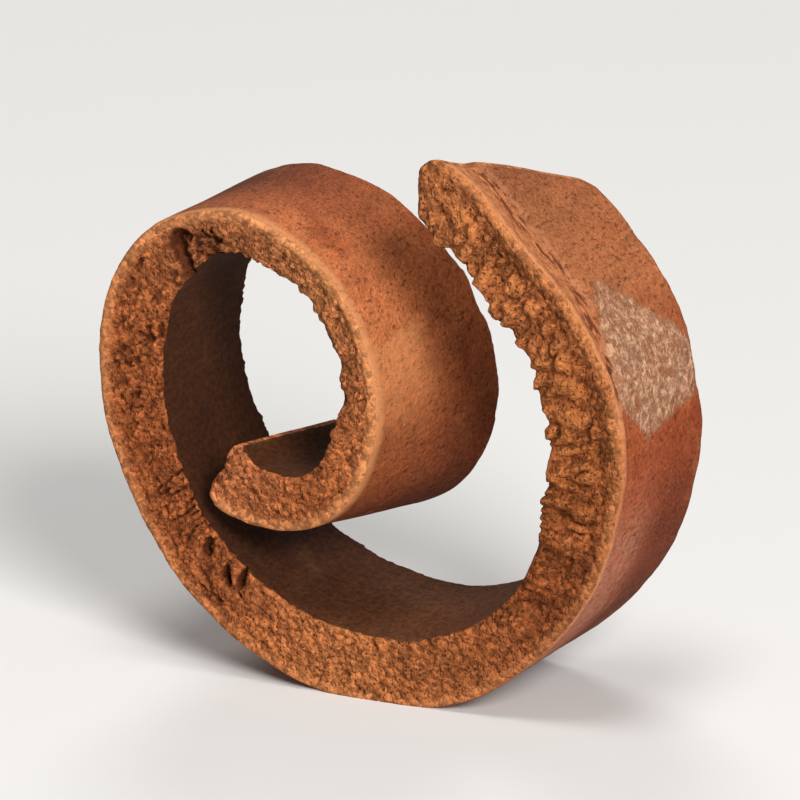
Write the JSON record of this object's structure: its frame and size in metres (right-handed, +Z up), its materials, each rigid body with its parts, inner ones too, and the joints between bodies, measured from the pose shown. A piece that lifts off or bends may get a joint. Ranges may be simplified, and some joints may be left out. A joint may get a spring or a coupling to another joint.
{
  "type": "cinnamon stick",
  "caption": "Short length sawn from a thick rolled quill of cinnamon bark, standing on its rolled side: a wide outer turn with a free end, and a tighter curl inside it.",
  "frame": {"origin": "on the ground under the middle of the piece's box", "axes": "+Z up, Y along the roll's axis with the sawn front face towards -Y, X across the roll with the free end on the +X side"},
  "size_m": [0.0504, 0.0178, 0.0496],
  "materials": {
    "bark": "dry matt cinnamon bark: orange-brown fibrous outside with grey-tan cork patches, grainy sawn faces, darker smooth inner skin"
  },
  "bodies": {
    "root": {"cinnamon_stick": "bark"}
  },
  "joints": []
}
